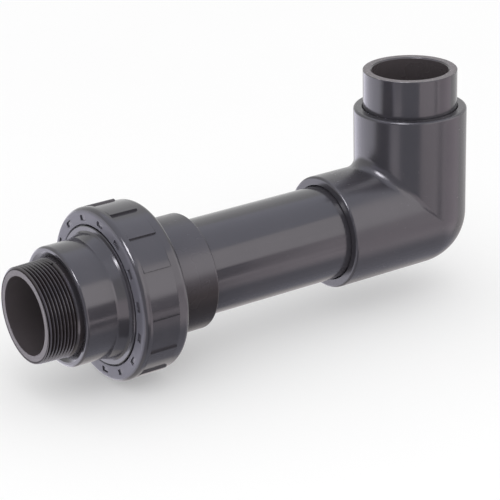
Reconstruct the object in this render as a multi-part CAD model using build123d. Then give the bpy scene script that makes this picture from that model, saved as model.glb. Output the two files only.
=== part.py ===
from build123d import *
import math
import os

os.makedirs("parts", exist_ok=True)

# Union fitted to a pipe and an elbow, 2 inch size, in millimetres. The run lies along X with the
# centre of the threaded end's face at the origin. The elbow's open leg points up along Z.

# pipe size and glued sockets
PIPE_R = 30.15
BORE_R = 24.6
SOCKET_DEPTH = 38.1
SOCKET_BODY_R = 36.3
SPIGOT_TAPER = 0.15
GLUE_GAP = 0.03
STOP_GAP = 1.0
SAWN_EDGE = 0.3

# stations along the run
TAIL_FACE_X = 20.8
SHOULDER_X = 48.9
NUT_FACE_X = 49.5
FLANGE_X = 54.65
JOINT_X = 66.0
NUT_REAR_X = 81.6
BUSH_END_X = 112.3
ELBOW_FACE_X = 214.9
LEG_X = 285.3
OUTLET_Z = 95.0

# male pipe thread, tapered 1 in 16 on the diameter
PIPE_PITCH = 2.209
PIPE_CREST_R = 29.35
PIPE_THREAD_DEPTH = 1.45
PIPE_CREST_FLAT = 0.30
PIPE_ROOT_FLAT = 0.22
PIPE_TAPER = 1 / 32
PIPE_RIDGE_SUNK = 0.1
PIPE_THREAD_END_X = 18.2
NIPPLE_BORE_R = 24.0

# union tail
TAIL_BODY_R = 36.75
TAIL_MOUTH_R = 33.7
TAIL_MOUTH_DEPTH = 2.0
TAIL_CONE_X = 41.7
TAIL_CONE_R = 38.9
SHOULDER_R = 42.6
FLANGE_R = 45.6

# union thread, trapezoidal, right hand; every ridge starts a little inside its wall
RIDGE_SUNK = 0.3
UNION_PITCH = 4.0
BUSH_CREST_R = 47.8
BUSH_ROOT_R = 46.2
NUT_CREST_R = 46.55
NUT_ROOT_R = 48.15
BUSH_CREST_FLAT = 1.0
BUSH_BASE = 2.2
NUT_CREST_FLAT = 1.1
NUT_BASE = 2.3
COLLAR_END_X = 80.0
BUSH_RIDGE_X = 66.0
BUSH_RIDGE_LENGTH = 14.0
BUSH_THREAD_SPAN = (66.6, 79.9)
NUT_RIDGE_X = BUSH_RIDGE_X - 1.5 * UNION_PITCH
NUT_RIDGE_LENGTH = 22.0
NUT_THREAD_SPAN = (60.5, 81.0)

# union nut
NUT_OPENING_R = 43.25
NUT_FRONT_R = 53.7
NUT_BACK_R = 52.2
NUT_FRONT_ROUND = 3.6
NUT_BACK_ROUND = 3.6
GRIP_FRONT_X = 54.9
GRIP_BACK_X = 73.7
GRIP_CREST_R = 53.8
GRIP_LOW_R = 52.5
GRIP_EDGE = 0.8
GRIP_AXIS_DEG = 86.5
GRIP_STEPS_DEG = (3.6, 28.0, 51.9, 76.0, 104.0, 128.1, 152.0, 176.4)
MARK_COUNT = 15
MARK_FIRST_DEG = 16.1
MARK_INNER_R = 45.7
MARK_OUTER_R = 49.0
MARK_WIDTH = 6.2
MARK_DEPTH = 0.8

# sealing ring in the bush's face
RING_R = 35.6
RING_HEIGHT = 2.88
RING_WIDTH = 4.0
GROOVE_DEPTH = 2.93
GROOVE_WIDTH = 4.6

# elbow
CROTCH_R = 7.0
CROTCH_END_DEG = 84.0
SOCKET_EDGE = 1.6

# outlet
MOUTH_CHAMFER = 0.8


def turned(points):
    """Solid turned about the X axis from its (x, r) outline."""
    outline = Polyline(*[(x, r, 0) for x, r in points], close=True)
    return revolve(make_face(outline), Axis.X, 360)


def disc_x(x0, x1, r0, r1=None):
    """Round bar or cone along X, from radius r0 at x0 to r1 at x1."""
    r1 = r0 if r1 is None else r1
    return turned([(x0, 0), (x0, r0), (x1, r1), (x1, 0)])


def rounded(solid, radius, choose):
    """Solid with the chosen circular edges rounded."""
    return fillet(solid.edges().filter_by(GeomType.CIRCLE).filter_by(choose), radius)


def at_x(x, r):
    """Test for the circular edge of radius r at station x."""
    return lambda e: abs(e.center().X - x) < 0.01 and abs(e.radius - r) < 0.02


def ridge(pitch, height, radius, profile, cone_angle=0):
    """Helical thread ridge about +Z; the profile is (outward, along) from the helix."""
    path = Helix(pitch, height, radius, cone_angle=cone_angle)
    points = [(radius + out, 0, along) for out, along in profile]
    section = make_face(Polyline(*points, close=True))
    return sweep(section, path=path, is_frenet=True)


def along_run(shape, x):
    """Shape made about +Z from its own origin, laid along +X from station x."""
    return Pos(x, 0, 0) * Rot(0, 90, 0) * shape


def trapezium(depth, base, crest, sunk):
    """Ridge profile whose flanks run on a little into the wall; a depth below 0 points inwards."""
    wide = base / 2 + sunk * (base - crest) / 2 / abs(depth)
    back = -math.copysign(sunk, depth)
    return [(back, -wide), (depth, -crest / 2), (depth, crest / 2), (back, wide)]


def union_thread(start, length, root, crest, base, flat, span):
    """Union thread ridge from that start, its crest fading out at both ends of its span."""
    depth = crest - root
    profile = trapezium(depth, base, flat, RIDGE_SUNK)
    thread = along_run(ridge(UNION_PITCH, length, root, profile), start)
    low = root - math.copysign(RIDGE_SUNK / 2, depth)
    high = crest + math.copysign(RIDGE_SUNK / 2, depth)
    fade = abs(high - low)
    near, far = span
    return thread & turned([(near, low), (near + fade, high), (far - fade, high), (far, low)])


def spigot_end(face_x, way):
    """Outline of a glued pipe end that tapers from a socket's face into it, as (x, r) points."""
    end = face_x + way * (SOCKET_DEPTH - STOP_GAP)
    edge = 1.0
    r_end = PIPE_R - SPIGOT_TAPER
    return [(face_x, PIPE_R), (end - way * edge, r_end), (end, r_end - edge)]


def socket(face_x, way, mouth_r, mouth_depth):
    """Void of a glued socket: mouth chamfer, tapered bore and floor."""
    floor = face_x + way * SOCKET_DEPTH
    neck = face_x + way * mouth_depth
    out = face_x - way * 1.0
    r0 = PIPE_R + GLUE_GAP
    r1 = PIPE_R - SPIGOT_TAPER + GLUE_GAP
    return turned([(out, 0), (out, mouth_r), (face_x, mouth_r), (neck, r0), (floor, r1), (floor, 0)])


def threaded_nipple():
    """Male threaded end whose plain spigot is glued into the tail's socket."""
    root = PIPE_CREST_R - PIPE_THREAD_DEPTH
    root_end = root + PIPE_THREAD_END_X * PIPE_TAPER
    plain_x = PIPE_THREAD_END_X + (PIPE_R - root_end)
    end = TAIL_FACE_X + SOCKET_DEPTH - STOP_GAP
    outer = [(0, root), (PIPE_THREAD_END_X, root_end), (plain_x, PIPE_R)]
    outer += spigot_end(TAIL_FACE_X, 1)
    inner = [(end, NIPPLE_BORE_R), (0, NIPPLE_BORE_R)]
    core = turned(outer + inner)
    base = PIPE_PITCH - PIPE_ROOT_FLAT
    profile = trapezium(PIPE_THREAD_DEPTH, base, PIPE_CREST_FLAT, PIPE_RIDGE_SUNK)
    start = -PIPE_PITCH
    length = PIPE_THREAD_END_X + 0.6 - start
    angle = math.degrees(math.atan(PIPE_TAPER))
    thread = ridge(PIPE_PITCH, length, root + start * PIPE_TAPER, profile, angle)
    crest = PIPE_CREST_R
    crest_end = crest + plain_x * PIPE_TAPER
    keep = [
        (0, NIPPLE_BORE_R + 1.0),
        (0, crest - 0.5),
        (0.5, crest + 0.5 * PIPE_TAPER),
        (plain_x, crest_end + 0.01),
        (plain_x, NIPPLE_BORE_R + 1.0),
    ]
    thread = along_run(thread, start) & turned(keep)
    return core + thread


def union_tail():
    """Socketed tail whose flange the nut pulls on to the bush."""
    outer = [
        (TAIL_FACE_X, TAIL_BODY_R),
        (TAIL_CONE_X, TAIL_BODY_R),
        (SHOULDER_X - 1.2, TAIL_CONE_R),
        (SHOULDER_X, TAIL_CONE_R + 0.9),
        (SHOULDER_X, SHOULDER_R - 0.4),
        (SHOULDER_X + 0.4, SHOULDER_R),
        (FLANGE_X, SHOULDER_R),
        (FLANGE_X, FLANGE_R - 0.5),
        (FLANGE_X + 0.5, FLANGE_R),
        (JOINT_X - 0.8, FLANGE_R),
        (JOINT_X, FLANGE_R - 0.8),
    ]
    body = turned([(TAIL_FACE_X, 0), *outer, (JOINT_X, 0)])
    body = rounded(body, 1.7, at_x(TAIL_FACE_X, TAIL_BODY_R))
    body = rounded(body, 4.0, at_x(TAIL_CONE_X, TAIL_BODY_R))
    body -= socket(TAIL_FACE_X, 1, TAIL_MOUTH_R, TAIL_MOUTH_DEPTH)
    return body - disc_x(TAIL_FACE_X, JOINT_X + 1, BORE_R)


def nut_side(x):
    """Radius of the nut's side at station x."""
    share = (x - NUT_FACE_X) / (NUT_REAR_X - NUT_FACE_X)
    return NUT_FRONT_R + (NUT_BACK_R - NUT_FRONT_R) * share


def grip_cut(start_deg, end_deg, start_r, end_r):
    """Cut that leaves one grip facet between two angles, with its radius at each."""
    outside = NUT_FRONT_R + 5.0
    a, b = math.radians(start_deg), math.radians(end_deg)
    places = [
        (start_r, a),
        ((start_r + end_r) / 2, (a + b) / 2),
        (end_r, b),
        (outside, b),
        (outside, a),
    ]
    p = [(GRIP_FRONT_X, -r * math.sin(t), r * math.cos(t)) for r, t in places]
    facet = ThreePointArc(p[0], p[1], p[2])
    sides = Polyline(p[2], p[3], p[4], p[0])
    face = make_face([*facet.edges(), *sides.edges()])
    return extrude(face, GRIP_BACK_X - GRIP_FRONT_X, dir=(1, 0, 0))


def grip_cuts():
    """All the cuts between the grip teeth, two mirrored halves whose steps face each other."""
    first = GRIP_STEPS_DEG[0]
    middle = GRIP_AXIS_DEG
    cuts = [grip_cut(middle - first, middle + first, GRIP_LOW_R, GRIP_LOW_R)]
    for high, low in zip(GRIP_STEPS_DEG, GRIP_STEPS_DEG[1:]):
        for way in (-1, 1):
            cuts.append(grip_cut(middle + way * high, middle + way * low, GRIP_CREST_R, GRIP_LOW_R))
    return cuts


def face_marks():
    """Shallow pockets around the nut's front face."""
    height = MARK_OUTER_R - MARK_INNER_R
    block = Box(2 * MARK_DEPTH, MARK_WIDTH, height)
    block = fillet(block.edges().filter_by(Axis.X), 0.5)
    marks = []
    for k in range(MARK_COUNT):
        angle = -MARK_FIRST_DEG - k * 360 / MARK_COUNT
        middle = (MARK_OUTER_R + MARK_INNER_R) / 2
        marks.append(Rot(angle, 0, 0) * Pos(NUT_FACE_X, 0, middle) * block)
    return marks


def union_nut():
    """Hand nut: lip behind the tail's flange, grip teeth outside, thread inside."""
    outline = [
        (NUT_FACE_X, NUT_OPENING_R + 0.5),
        (NUT_FACE_X, NUT_FRONT_R),
        (GRIP_FRONT_X, nut_side(GRIP_FRONT_X)),
        (GRIP_FRONT_X + GRIP_EDGE / 2, GRIP_CREST_R),
        (GRIP_BACK_X - GRIP_EDGE, GRIP_CREST_R),
        (GRIP_BACK_X, GRIP_CREST_R - GRIP_EDGE),
        (GRIP_BACK_X, nut_side(GRIP_BACK_X)),
        (NUT_REAR_X, NUT_BACK_R),
        (NUT_REAR_X, NUT_ROOT_R + 0.3),
        (NUT_REAR_X - 0.3, NUT_ROOT_R),
        (FLANGE_X - 0.05, NUT_ROOT_R),
        (FLANGE_X - 0.05, NUT_OPENING_R),
        (NUT_FACE_X + 0.5, NUT_OPENING_R),
    ]
    body = turned(outline)
    body = rounded(body, NUT_FRONT_ROUND, at_x(NUT_FACE_X, NUT_FRONT_R))
    body = rounded(body, NUT_BACK_ROUND, at_x(NUT_REAR_X, NUT_BACK_R))
    radii = (NUT_ROOT_R, NUT_CREST_R)
    body += union_thread(NUT_RIDGE_X, NUT_RIDGE_LENGTH, *radii, NUT_BASE, NUT_CREST_FLAT, NUT_THREAD_SPAN)
    return body - grip_cuts() - face_marks()


def union_bush():
    """Male threaded socket the tail seals against, with the ring's groove in its face."""
    face = JOINT_X + 0.05
    outer = [
        (face, BUSH_ROOT_R - 0.5),
        (face + 0.5, BUSH_ROOT_R),
        (COLLAR_END_X, BUSH_ROOT_R),
        (COLLAR_END_X, SOCKET_BODY_R),
        (BUSH_END_X, SOCKET_BODY_R),
    ]
    body = turned([(face, 0), *outer, (BUSH_END_X, 0)])
    body = rounded(body, 3.0, at_x(COLLAR_END_X, SOCKET_BODY_R))
    body = rounded(body, 1.4, at_x(BUSH_END_X, SOCKET_BODY_R))
    body -= socket(BUSH_END_X, -1, PIPE_R + 0.6, 0.6)
    body -= disc_x(face - 1, BUSH_END_X, BORE_R)
    groove = [
        (face - 1, RING_R - GROOVE_WIDTH / 2),
        (face - 1, RING_R + GROOVE_WIDTH / 2),
        (face + GROOVE_DEPTH, RING_R + GROOVE_WIDTH / 2),
        (face + GROOVE_DEPTH, RING_R - GROOVE_WIDTH / 2),
    ]
    body -= turned(groove)
    radii = (BUSH_ROOT_R, BUSH_CREST_R)
    thread = union_thread(
        BUSH_RIDGE_X, BUSH_RIDGE_LENGTH, *radii, BUSH_BASE, BUSH_CREST_FLAT, BUSH_THREAD_SPAN
    )
    return body + thread


def o_ring():
    """Sealing ring, squeezed flat between the bush and the tail."""
    middle = JOINT_X + 0.03 + RING_HEIGHT / 2 + 0.04
    section = RectangleRounded(RING_HEIGHT, RING_WIDTH, RING_HEIGHT / 2 - 0.01)
    return revolve(Pos(middle, RING_R, 0) * section, Axis.X, 360)


def pipe():
    """Plain pipe glued into the bush and the elbow."""
    start = spigot_end(BUSH_END_X, -1)
    end = spigot_end(ELBOW_FACE_X, 1)
    outer = start[::-1] + end
    return turned(outer + [(end[-1][0], BORE_R), (start[-1][0], BORE_R)])


def bend(r, length):
    """Square bend of one radius: two bars and the quarter ball that closes the outer corner."""
    run = disc_x(LEG_X - length, LEG_X, r)
    leg = Pos(LEG_X, 0, 0) * extrude(Circle(r), length)
    ball = Pos(LEG_X, 0, 0) * Sphere(r)
    corner = Pos(LEG_X + r, 0, -r) * Box(2 * r, 4 * r, 2 * r)
    return run + leg + (ball & corner)


def crotch_fillet(r):
    """Fill of the sharp inner corner where the two legs of radius r meet."""
    end = math.radians(CROTCH_END_DEG)
    half = CROTCH_R / math.sqrt(2)
    wedge = extrude(Ellipse((2 * r + CROTCH_R) / math.sqrt(2), r), half, both=True)
    low = (2 * r + CROTCH_R) / math.sqrt(2) * math.cos(end)
    wedge &= Pos(low + r, 0, 0) * Box(2 * r, 3 * r, 3 * CROTCH_R)
    reach = r + CROTCH_R
    rail = EllipticalCenterArc((0, 0), reach * math.sqrt(2), reach, start_angle=-88, arc_size=176)
    ball = Plane(rail @ 0, z_dir=rail % 0) * Circle(CROTCH_R + 0.005)
    wedge -= sweep(ball, path=rail)
    return Plane((LEG_X, 0, 0), x_dir=(-1, 0, 1), z_dir=(1, 0, 1)) * wedge


def elbow():
    """Square elbow with a glued socket on each leg."""
    reach = LEG_X - ELBOW_FACE_X
    body = bend(SOCKET_BODY_R, reach) + crotch_fillet(SOCKET_BODY_R)
    rims = body.edges().filter_by(GeomType.CIRCLE)
    body = fillet(rims.filter_by(lambda e: e.arc_center.X < ELBOW_FACE_X + 1), SOCKET_EDGE)
    rims = body.edges().filter_by(GeomType.CIRCLE)
    body = fillet(rims.filter_by(lambda e: e.arc_center.Z > reach - 1), SOCKET_EDGE)
    body -= bend(BORE_R, reach - SOCKET_DEPTH + 1)
    body -= socket(ELBOW_FACE_X, 1, PIPE_R + 0.8, 0.8)
    upright = Pos(LEG_X, 0, 0) * Rot(0, 90, 0) * Pos(-LEG_X, 0, 0)
    body -= upright * socket(ELBOW_FACE_X, 1, PIPE_R + 0.8, 0.8)
    return body


def outlet_stub():
    """Short pipe end glued into the elbow's open leg."""
    face = LEG_X - ELBOW_FACE_X
    r_end = PIPE_R - SPIGOT_TAPER
    bottom = face - SOCKET_DEPTH + STOP_GAP
    points = [
        (bottom, r_end - 1.0),
        (bottom + 1.0, r_end),
        (face, PIPE_R),
        (OUTLET_Z - SAWN_EDGE, PIPE_R),
        (OUTLET_Z, PIPE_R - SAWN_EDGE),
        (OUTLET_Z, BORE_R + MOUTH_CHAMFER),
        (OUTLET_Z - MOUTH_CHAMFER, BORE_R),
        (bottom, BORE_R),
    ]
    return Pos(LEG_X, 0, 0) * Rot(0, -90, 0) * turned(points)


PIECES = (
    threaded_nipple,
    union_tail,
    union_nut,
    union_bush,
    o_ring,
    pipe,
    elbow,
    outlet_stub,
)
for piece in PIECES:
    shape = piece()
    export_step(shape, f"parts/{piece.__name__}.step")
    print(piece.__name__, shape.is_valid, len(shape.solids()), round(shape.volume))
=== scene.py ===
"""Looks for the pipe union with its pipe and elbow: grey moulded and extruded PVC on a pale floor."""
import math

import bpy
from mathutils import Matrix, Vector


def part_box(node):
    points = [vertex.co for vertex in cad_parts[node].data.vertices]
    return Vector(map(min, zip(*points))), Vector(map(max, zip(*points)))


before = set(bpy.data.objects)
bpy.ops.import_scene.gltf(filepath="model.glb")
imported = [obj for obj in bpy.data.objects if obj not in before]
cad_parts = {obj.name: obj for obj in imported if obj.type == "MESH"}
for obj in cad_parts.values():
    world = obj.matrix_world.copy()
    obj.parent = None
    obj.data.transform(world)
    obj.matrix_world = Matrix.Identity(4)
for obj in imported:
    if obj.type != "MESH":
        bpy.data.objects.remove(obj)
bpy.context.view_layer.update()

# camera, in metres and degrees; yaw turns from +Y towards +X
CAMERA_AT = Vector((-0.49395, -0.97840, 0.47770))
CAMERA_YAW = 33.718
CAMERA_PITCH = -22.027
CAMERA_ROLL = -1.614
CAMERA_LENS = 146.906

# key light: the way to it from the point it faces, its distance, size and brightness
KEY_TOWARDS = Vector((-0.2, -0.6, 0.9))
KEY_CENTRE = Vector((0.15, 0, 0))
KEY_DISTANCE = 1.4
KEY_SIZE = (1.0, 0.8)
KEY_BRIGHTNESS = 0.9

# places on the part, in metres
NIPPLE_FACE_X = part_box("threaded_nipple")[0].x
NUT_FRONT_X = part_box("union_nut")[0].x
STUB_TOP_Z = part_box("outlet_stub")[1].z
LEG_X = (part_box("outlet_stub")[0].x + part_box("outlet_stub")[1].x) / 2
LEG_CENTRE = (LEG_X, 0, 0)
PIPE_BORE = 0.0246
NIPPLE_BORE = 0.0240
THREAD_ROOT = 0.0280
THREAD_CREST = 0.0291
THREAD_TAPER = 1 / 32
# below this height the bush has painted shade, darker and less specular
BUSH_SHADE_Z = 0.006
FACE_DEPTH = 0.0001
FLOOR_GAP = 0.0005
FLOOR_HALF = 6.0
FLOOR_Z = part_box("union_nut")[0].z - FLOOR_GAP

# material colours, linear
GREY = (0.038, 0.036, 0.043)
GREY_LIGHT = (0.043, 0.040, 0.047)
BROWN_GREY = (0.036, 0.029, 0.031)
BORE_DARK = (0.070, 0.060, 0.064)
BORE_LIGHT = (0.085, 0.074, 0.078)
# a paler bluish sheen painted onto the nut's satin front face
SATIN_SHEEN_GREY = (0.115, 0.112, 0.135)
# painted shade for the bush's underside
PAINTED_SHADE_GREY = (0.022, 0.018, 0.019)
# painted shade for the deep part of the thread's grooves
THREAD_SHADE_GREY = (0.012, 0.009, 0.009)
SCUFF_GREY = (0.34, 0.33, 0.35)
SAWN_DARK = (0.095, 0.084, 0.088)
SAWN_LIGHT = (0.150, 0.134, 0.138)
FLOOR_WHITE = (0.65, 0.65, 0.65)
FLOOR_WHITER = (0.67, 0.67, 0.67)
FLOOR_GLOW = 0.3
PVC_IOR = 1.54
FULL_SPECULAR = 0.5

# what reflections see: linear colours, 1 is the white of the background
FLOOR_LIGHT = (0.80, 0.76, 0.76)
OVERHEAD_LIGHT = (1.30, 1.32, 1.52)
SOFTBOX_LIGHT = (2.75, 2.6, 2.7)
SOFTBOX_END_LIGHT = (2.25, 2.12, 2.2)
BACKDROP_LIGHT = (2.25, 2.2, 2.5)
LAMP_LIGHT = (20, 19.5, 21)
SIDE_LIGHT = (1.95, 1.73, 1.85)
FAR_SIDE_LIGHT = (1.4, 1.2, 1.32)
STRIP_LIGHT = (2.5, 2.3, 2.5)
HALF_LIGHT = (0.90, 0.88, 1.10)
DARK = (0.55, 0.55, 0.64)
BLACK = (0.05, 0.05, 0.06)

# the studio's patches, later ones over earlier ones: colour; azimuths from the camera's side round
# to its right, elevations and soft edge, in degrees; and how much of the direction is along the run
ALL_ROUND = (-200, 200)
STUDIO_PATCHES = (
    (FLOOR_LIGHT, ALL_ROUND, (-95, -20), 6),
    (BACKDROP_LIGHT, (-160, -80), (-50, -5), 6),
    (OVERHEAD_LIGHT, ALL_ROUND, (43, 95), 3),
    (SIDE_LIGHT, (17, 110), (-42, 8), 4),
    (DARK, (20, 150), (-95, -36), 8),
    (DARK, (-74, 18), (-60, 43), 1.5),
    (HALF_LIGHT, (-74, -44), (-50, 43), 1.5),
    (FAR_SIDE_LIGHT, (72, 112), (-25, -11), 3),
    (STRIP_LIGHT, (-44, -25), (-40, -18.6), 0.6),
    (BLACK, (56, 64.6), (-45, -20.5), 1.1),
    (BLACK, (12, 50), (-62, -25), 2),
    (BLACK, (56, 65.5), (-16.2, 8), 1.5),
    (BLACK, (20, 150), (-62, -18), 2, (0.461, 0.4845)),
    (BLACK, (20, 150), (-95, -20.5), 3, (0.4845, 0.4965)),
    (SOFTBOX_LIGHT, (28, 105), (8, 43), 1.5),
    (SOFTBOX_END_LIGHT, (28, 105), (8, 43), 1.5, (0.4845, 0.62)),
    (LAMP_LIGHT, (-48, -10), (45, 66), 1.5),
)
ALONG_SOFT = 0.002


class Nodes:
    """A material's node tree, with short ways to add and link nodes."""

    def __init__(self, name):
        self.material = bpy.data.materials.new(name)
        self.material.use_nodes = True
        self.tree = self.material.node_tree
        self.tree.nodes.clear()
        self.shader = self.add("ShaderNodeBsdfPrincipled")
        output = self.add("ShaderNodeOutputMaterial")
        self.link(self.shader.outputs["BSDF"], output.inputs["Surface"])
        self.place = self.add("ShaderNodeTexCoord").outputs["Object"]

    def add(self, kind, **settings):
        """New node with these properties."""
        node = self.tree.nodes.new(kind)
        for key, value in settings.items():
            setattr(node, key, value)
        return node

    def link(self, source, target):
        """Joins two sockets."""
        self.tree.links.new(source, target)

    def feed(self, node, socket, value):
        """Sets a node's input, from another node's socket or to a plain value."""
        target = node.inputs[socket]
        if isinstance(value, bpy.types.NodeSocket):
            self.link(value, target)
        else:
            target.default_value = value

    def math(self, operation, a, b=0.0, clamp=False):
        """Result of a maths node."""
        node = self.add("ShaderNodeMath", operation=operation, use_clamp=clamp)
        self.feed(node, 0, a)
        self.feed(node, 1, b)
        return node.outputs[0]

    def ramp(self, value, low, high, to_low=0.0, to_high=1.0):
        """value from low..high mapped smoothly to to_low..to_high."""
        node = self.add("ShaderNodeMapRange", interpolation_type="SMOOTHSTEP")
        self.feed(node, "Value", value)
        for socket, number in zip(("From Min", "From Max", "To Min", "To Max"), (low, high, to_low, to_high)):
            node.inputs[socket].default_value = number
        return node.outputs["Result"]

    def stretched(self, scale):
        """The place on the part, scaled along each axis."""
        node = self.add("ShaderNodeMapping")
        self.feed(node, "Vector", self.place)
        node.inputs["Scale"].default_value = scale
        return node.outputs["Vector"]

    def noise(self, scale, detail=4.0, roughness=0.55, stretch=(1, 1, 1), spread=0.0):
        """Noise of that many cells per metre."""
        node = self.add("ShaderNodeTexNoise")
        self.feed(node, "Vector", self.stretched(stretch))
        node.inputs["Scale"].default_value = scale
        node.inputs["Detail"].default_value = detail
        node.inputs["Roughness"].default_value = roughness
        node.inputs["Distortion"].default_value = spread
        return node.outputs["Fac"]

    def mix(self, share, a, b):
        """Colour between a and b."""
        node = self.add("ShaderNodeMix", data_type="RGBA")
        self.feed(node, "Factor", share)
        for socket, value in (("A", a), ("B", b)):
            target = next(s for s in node.inputs if s.name == socket and s.type == "RGBA")
            if isinstance(value, bpy.types.NodeSocket):
                self.link(value, target)
            else:
                target.default_value = (*value, 1.0)
        return next(s for s in node.outputs if s.type == "RGBA")

    def axis(self, name):
        """One coordinate of the place on the part."""
        node = self.add("ShaderNodeSeparateXYZ")
        self.feed(node, 0, self.place)
        return node.outputs[name]

    def distance(self, axis, centre):
        """Distance from the line through centre along that axis."""
        flat = [1.0, 1.0, 1.0]
        flat[axis] = 0.0
        offset = self.add("ShaderNodeVectorMath", operation="SUBTRACT")
        self.feed(offset, 0, self.place)
        offset.inputs[1].default_value = centre
        level = self.add("ShaderNodeVectorMath", operation="MULTIPLY")
        self.link(offset.outputs["Vector"], level.inputs[0])
        level.inputs[1].default_value = flat
        reach = self.add("ShaderNodeVectorMath", operation="LENGTH")
        self.link(level.outputs["Vector"], reach.inputs[0])
        return reach.outputs["Value"]

    def bump(self, height, distance, strength=1.0, over=None):
        """Bump normal from that height map; distance is the height of 1, in metres."""
        node = self.add("ShaderNodeBump")
        self.feed(node, "Height", height)
        node.inputs["Distance"].default_value = distance
        node.inputs["Strength"].default_value = strength
        if over is not None:
            self.link(over, node.inputs["Normal"])
        return node.outputs["Normal"]


def pvc(name, base, light, rough, along=None, face=None, bore=None, thread=None, satin=None, painted_shade_below=None):
    """Grey PVC.

    along is the axis of an extrusion's die lines, face is (axis, place, way) of a sawn end,
    bore is (axis, centre, radius) of a hole whose wall is lighter and duller, and
    thread is (root radius, crest radius, taper) of a cut thread about X with shade painted into its grooves.
    Below the X given as satin the surface is a rougher satin with a paler bluish sheen
    painted into its colour, and below the Z given as painted_shade_below it has painted shade: darker and
    less specular.
    """
    n = Nodes(name)
    cloud = n.noise(28, 3)
    grain = n.noise(900, 5, 0.7)
    colour = n.mix(n.ramp(cloud, 0.35, 0.7), base, light)
    scuff = n.noise(160, 6, 0.65, (1, 3.5, 2.2), 0.6)
    scuffed = n.ramp(scuff, 0.62, 0.74)
    colour = n.mix(n.math("MULTIPLY", scuffed, 0.025), colour, SCUFF_GREY)
    roughness = n.ramp(cloud, 0.3, 0.7, rough - 0.03, rough + 0.03)
    roughness = n.math("ADD", roughness, n.math("MULTIPLY", scuffed, 0.05))
    height = n.math("MULTIPLY", grain, 0.35)
    inside = 0.0
    if bore is not None:
        axis, centre, radius = bore
        inside = n.ramp(n.distance(axis, centre), radius + 0.0001, radius + 0.0004, 1.0, 0.0)
    if along is not None:
        stretch = [60.0, 60.0, 60.0]
        stretch[along] = 0.6
        lines = n.math("MULTIPLY", n.noise(12, 4, 0.6, stretch), n.math("SUBTRACT", 1.0, inside))
        height = n.math("ADD", height, n.math("MULTIPLY", lines, 0.8))
        roughness = n.math("ADD", roughness, n.ramp(lines, 0.35, 0.65, -0.02, 0.03))
    normal = n.bump(height, 0.00002, 0.6)
    if face is not None:
        axis, place, way = face
        offset = n.math("MULTIPLY", n.math("SUBTRACT", n.axis("XYZ"[axis]), place), way)
        sawn = n.ramp(offset, -0.00012, -0.00004)
        marks = n.noise(2600, 3, 0.6, (0.15, 1, 0.35) if axis == 2 else (1, 0.15, 1))
        sawn_colour = n.mix(n.ramp(marks, 0.3, 0.7), SAWN_DARK, SAWN_LIGHT)
        colour = n.mix(sawn, colour, sawn_colour)
        roughness = n.math("ADD", roughness, n.math("MULTIPLY", sawn, 0.35), clamp=True)
        normal = n.bump(n.math("MULTIPLY", marks, sawn), 0.00006, 0.7, normal)
    if bore is not None:
        colour = n.mix(inside, colour, n.mix(cloud, BORE_DARK, BORE_LIGHT))
        roughness = n.math("ADD", roughness, n.math("MULTIPLY", inside, 0.15), clamp=True)
    # painted shade deep in the thread's grooves: darker colour and less specular
    if thread is not None:
        root, crest, taper = thread
        level = n.math("SUBTRACT", n.distance(0, (0, 0, 0)), n.math("MULTIPLY", n.axis("X"), taper))
        groove = n.ramp(level, root, crest, 1.0, 0.0)
        cut = n.math("MULTIPLY", groove, n.ramp(level, root - 0.0006, root - 0.0003))
        colour = n.mix(cut, colour, THREAD_SHADE_GREY)
        specular = n.math("SUBTRACT", FULL_SPECULAR, n.math("MULTIPLY", cut, 0.4))
        n.feed(n.shader, "Specular IOR Level", specular)
    # front face of the nut: a rougher satin finish, with a paler bluish sheen painted into its colour
    if satin is not None:
        sheen_face = n.ramp(n.axis("X"), satin, satin + 0.0011, 1.0, 0.0)
        colour = n.mix(sheen_face, colour, SATIN_SHEEN_GREY)
        roughness = n.math("ADD", roughness, n.math("MULTIPLY", sheen_face, 0.35), clamp=True)
    # painted shade below that height: darker colour and less specular
    if painted_shade_below is not None:
        out_of_shade = n.ramp(n.axis("Z"), painted_shade_below - 0.009, painted_shade_below + 0.009)
        colour = n.mix(out_of_shade, PAINTED_SHADE_GREY, colour)
        n.feed(n.shader, "Specular IOR Level", n.ramp(out_of_shade, 0.0, 1.0, 0.2, FULL_SPECULAR))
    n.feed(n.shader, "Base Color", colour)
    n.feed(n.shader, "Roughness", roughness)
    n.feed(n.shader, "Normal", normal)
    n.shader.inputs["IOR"].default_value = PVC_IOR
    return n.material


def rubber():
    """Black ring rubber."""
    n = Nodes("ring_rubber_look")
    grain = n.noise(1500, 4)
    n.feed(n.shader, "Base Color", n.mix(grain, (0.008, 0.008, 0.008), (0.02, 0.02, 0.021)))
    n.feed(n.shader, "Roughness", n.ramp(grain, 0.3, 0.7, 0.45, 0.62))
    n.feed(n.shader, "Normal", n.bump(grain, 0.00003))
    return n.material


def dress(node, material):
    """Puts a material on a CAD node."""
    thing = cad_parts[node]
    thing.data.materials.clear()
    thing.data.materials.append(material)


dress("union_tail", pvc("tail_pvc", GREY, GREY_LIGHT, 0.16))
# the bush's underside has painted shade
dress("union_bush", pvc("bush_pvc", GREY, GREY_LIGHT, 0.26, painted_shade_below=BUSH_SHADE_Z))
dress("elbow", pvc("elbow_pvc", GREY, GREY_LIGHT, 0.24))
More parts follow.
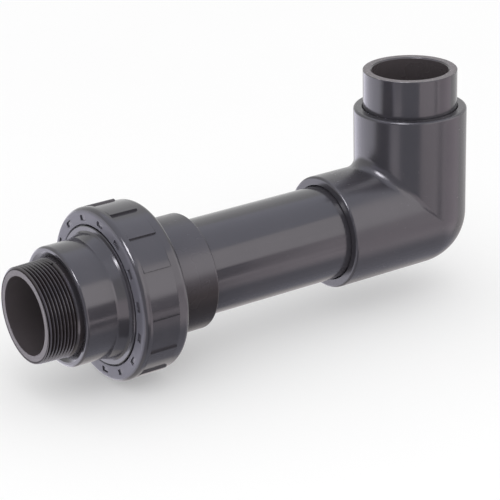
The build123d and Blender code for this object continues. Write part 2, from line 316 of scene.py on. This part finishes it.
# the nut's front face is rougher satin with a painted sheen
dress("union_nut", pvc("nut_pvc", GREY, GREY_LIGHT, 0.17, satin=NUT_FRONT_X + FACE_DEPTH))
dress("pipe", pvc("run_pipe_pvc", GREY, GREY_LIGHT, 0.15, along=0, bore=(0, (0, 0, 0), PIPE_BORE)))
stub_end = (2, STUB_TOP_Z, 1)
stub_bore = (2, LEG_CENTRE, PIPE_BORE)
dress("outlet_stub", pvc("leg_pipe_pvc", GREY, GREY_LIGHT, 0.15, along=2, face=stub_end, bore=stub_bore))
nipple_end = (0, NIPPLE_FACE_X, -1)
nipple_bore = (0, (0, 0, 0), NIPPLE_BORE)
nipple_thread = (THREAD_ROOT, THREAD_CREST, THREAD_TAPER)
nipple = pvc("nipple_pvc", BROWN_GREY, GREY, 0.2, face=nipple_end, bore=nipple_bore, thread=nipple_thread)
dress("threaded_nipple", nipple)
dress("o_ring", rubber())


def make_camera():
    """Camera at the picture's viewing angle."""
    yaw, pitch, roll = (math.radians(a) for a in (CAMERA_YAW, CAMERA_PITCH, CAMERA_ROLL))
    ahead = Vector((math.sin(yaw) * math.cos(pitch), math.cos(yaw) * math.cos(pitch), math.sin(pitch)))
    right = ahead.cross(Vector((0, 0, 1))).normalized()
    up = right.cross(ahead)
    right, up = (
        right * math.cos(roll) + up * math.sin(roll),
        up * math.cos(roll) - right * math.sin(roll),
    )
    turn = Matrix((right, up, -ahead)).transposed()
    camera = bpy.data.objects.new("camera", bpy.data.cameras.new("camera"))
    camera.data.lens = CAMERA_LENS
    camera.data.sensor_width = 36
    camera.data.clip_start = 0.05
    camera.data.clip_end = 50
    camera.matrix_world = Matrix.Translation(CAMERA_AT) @ turn.to_4x4()
    bpy.context.collection.objects.link(camera)
    bpy.context.scene.camera = camera


def make_key_light():
    """Soft rectangular light facing the part; white is brightness 1."""
    light = bpy.data.lights.new("key", "AREA")
    light.shape = "RECTANGLE"
    light.size, light.size_y = KEY_SIZE
    light.energy = KEY_BRIGHTNESS * math.pi * light.size * light.size_y
    lamp = bpy.data.objects.new("key", light)
    way = KEY_TOWARDS.normalized()
    lamp.location = KEY_CENTRE + way * KEY_DISTANCE
    lamp.rotation_mode = "QUATERNION"
    lamp.rotation_quaternion = way.to_track_quat("Z", "Y")
    lamp.visible_glossy = False
    bpy.context.collection.objects.link(lamp)


def make_floor():
    """Plain pale floor, a little lit from below as a light table is."""
    mesh = bpy.data.meshes.new("floor")
    s = FLOOR_HALF
    mesh.from_pydata([(-s, -s, 0), (s, -s, 0), (s, s, 0), (-s, s, 0)], [], [(0, 1, 2, 3)])
    floor = bpy.data.objects.new("floor", mesh)
    floor.location.z = FLOOR_Z
    floor.visible_glossy = False
    bpy.context.collection.objects.link(floor)
    n = Nodes("floor_look")
    n.feed(n.shader, "Base Color", n.mix(n.noise(3, 2), FLOOR_WHITE, FLOOR_WHITER))
    n.shader.inputs["Emission Color"].default_value = (1, 1, 1, 1)
    n.shader.inputs["Emission Strength"].default_value = FLOOR_GLOW
    n.shader.inputs["Roughness"].default_value = 0.8
    n.shader.inputs["Specular IOR Level"].default_value = 0.0
    mesh.materials.append(n.material)


class Studio:
    """The studio all round, as reflections see it: pale, with softboxes and dark openings."""

    def __init__(self, tree):
        self.tree = tree
        way = tree.nodes.new("ShaderNodeTexCoord").outputs["Generated"]
        self.height = self.dot(way, (0, 0, 1))
        self.along = self.dot(way, (1, 0, 0))
        yaw = math.radians(CAMERA_YAW)
        across = self.dot(way, (math.cos(yaw), -math.sin(yaw), 0))
        back = self.dot(way, (-math.sin(yaw), -math.cos(yaw), 0))
        self.azimuth = self.maths("ARCTAN2", across, back)
        self.colour = None

    def dot(self, way, axis):
        """Part of the direction along that axis."""
        node = self.tree.nodes.new("ShaderNodeVectorMath")
        node.operation = "DOT_PRODUCT"
        self.tree.links.new(way, node.inputs[0])
        node.inputs[1].default_value = axis
        return node.outputs["Value"]

    def maths(self, operation, a, b):
        """Result of a maths node."""
        node = self.tree.nodes.new("ShaderNodeMath")
        node.operation = operation
        for socket, value in zip(node.inputs, (a, b)):
            if isinstance(value, bpy.types.NodeSocket):
                self.tree.links.new(value, socket)
            else:
                socket.default_value = value
        return node.outputs[0]

    def past(self, value, edge, soft):
        """0 below that edge and 1 above it."""
        node = self.tree.nodes.new("ShaderNodeMapRange")
        node.interpolation_type = "SMOOTHSTEP"
        self.tree.links.new(value, node.inputs["Value"])
        node.inputs["From Min"].default_value = edge - soft
        node.inputs["From Max"].default_value = edge + soft
        return node.outputs["Result"]

    def paint(self, colour, azimuth, elevation, soft, along=None):
        """Paints a patch, as STUDIO_PATCHES gives them; beyond 90 degrees up or down it has no edge."""
        edge = math.radians(soft)
        low, high = (math.sin(math.radians(max(-90, min(90, e)))) for e in elevation)
        mask = self.maths("SUBTRACT", self.past(self.height, low, edge), self.past(self.height, high, edge))
        if elevation[0] < -90:
            mask = self.maths("SUBTRACT", 1.0, self.past(self.height, high, edge))
        if elevation[1] > 90:
            mask = self.past(self.height, low, edge)
        left, right = (math.radians(a) for a in azimuth)
        if azimuth != ALL_ROUND:
            wide = self.maths(
                "SUBTRACT", self.past(self.azimuth, left, edge), self.past(self.azimuth, right, edge)
            )
            mask = self.maths("MULTIPLY", mask, wide)
        if along is not None:
            start, end = (self.past(self.along, part, ALONG_SOFT) for part in along)
            mask = self.maths("MULTIPLY", mask, self.maths("SUBTRACT", start, end))
        mixer = self.tree.nodes.new("ShaderNodeMix")
        mixer.data_type = "RGBA"
        self.tree.links.new(mask, mixer.inputs["Factor"])
        under, over = (s for s in mixer.inputs if s.type == "RGBA")
        if self.colour is None:
            under.default_value = (1, 1, 1, 1)
        else:
            self.tree.links.new(self.colour, under)
        over.default_value = (*colour, 1)
        self.colour = next(s for s in mixer.outputs if s.type == "RGBA")


def make_world():
    """Even white light all round; reflections see the studio."""
    world = bpy.data.worlds.new("studio")
    bpy.context.scene.world = world
    world.use_nodes = True
    tree = world.node_tree
    studio = Studio(tree)
    for patch in STUDIO_PATCHES:
        studio.paint(*patch)
    back = tree.nodes["Background"]
    mixer = tree.nodes.new("ShaderNodeMixShader")
    glossy = tree.nodes.new("ShaderNodeBackground")
    tree.links.new(studio.colour, glossy.inputs["Color"])
    tree.links.new(tree.nodes.new("ShaderNodeLightPath").outputs["Is Glossy Ray"], mixer.inputs[0])
    tree.links.new(back.outputs[0], mixer.inputs[1])
    tree.links.new(glossy.outputs[0], mixer.inputs[2])
    tree.links.new(mixer.outputs[0], tree.nodes["World Output"].inputs["Surface"])
    back.inputs["Color"].default_value = (1, 1, 1, 1)


make_camera()
make_floor()
make_world()
make_key_light()
bpy.context.scene.view_settings.view_transform = "Standard"
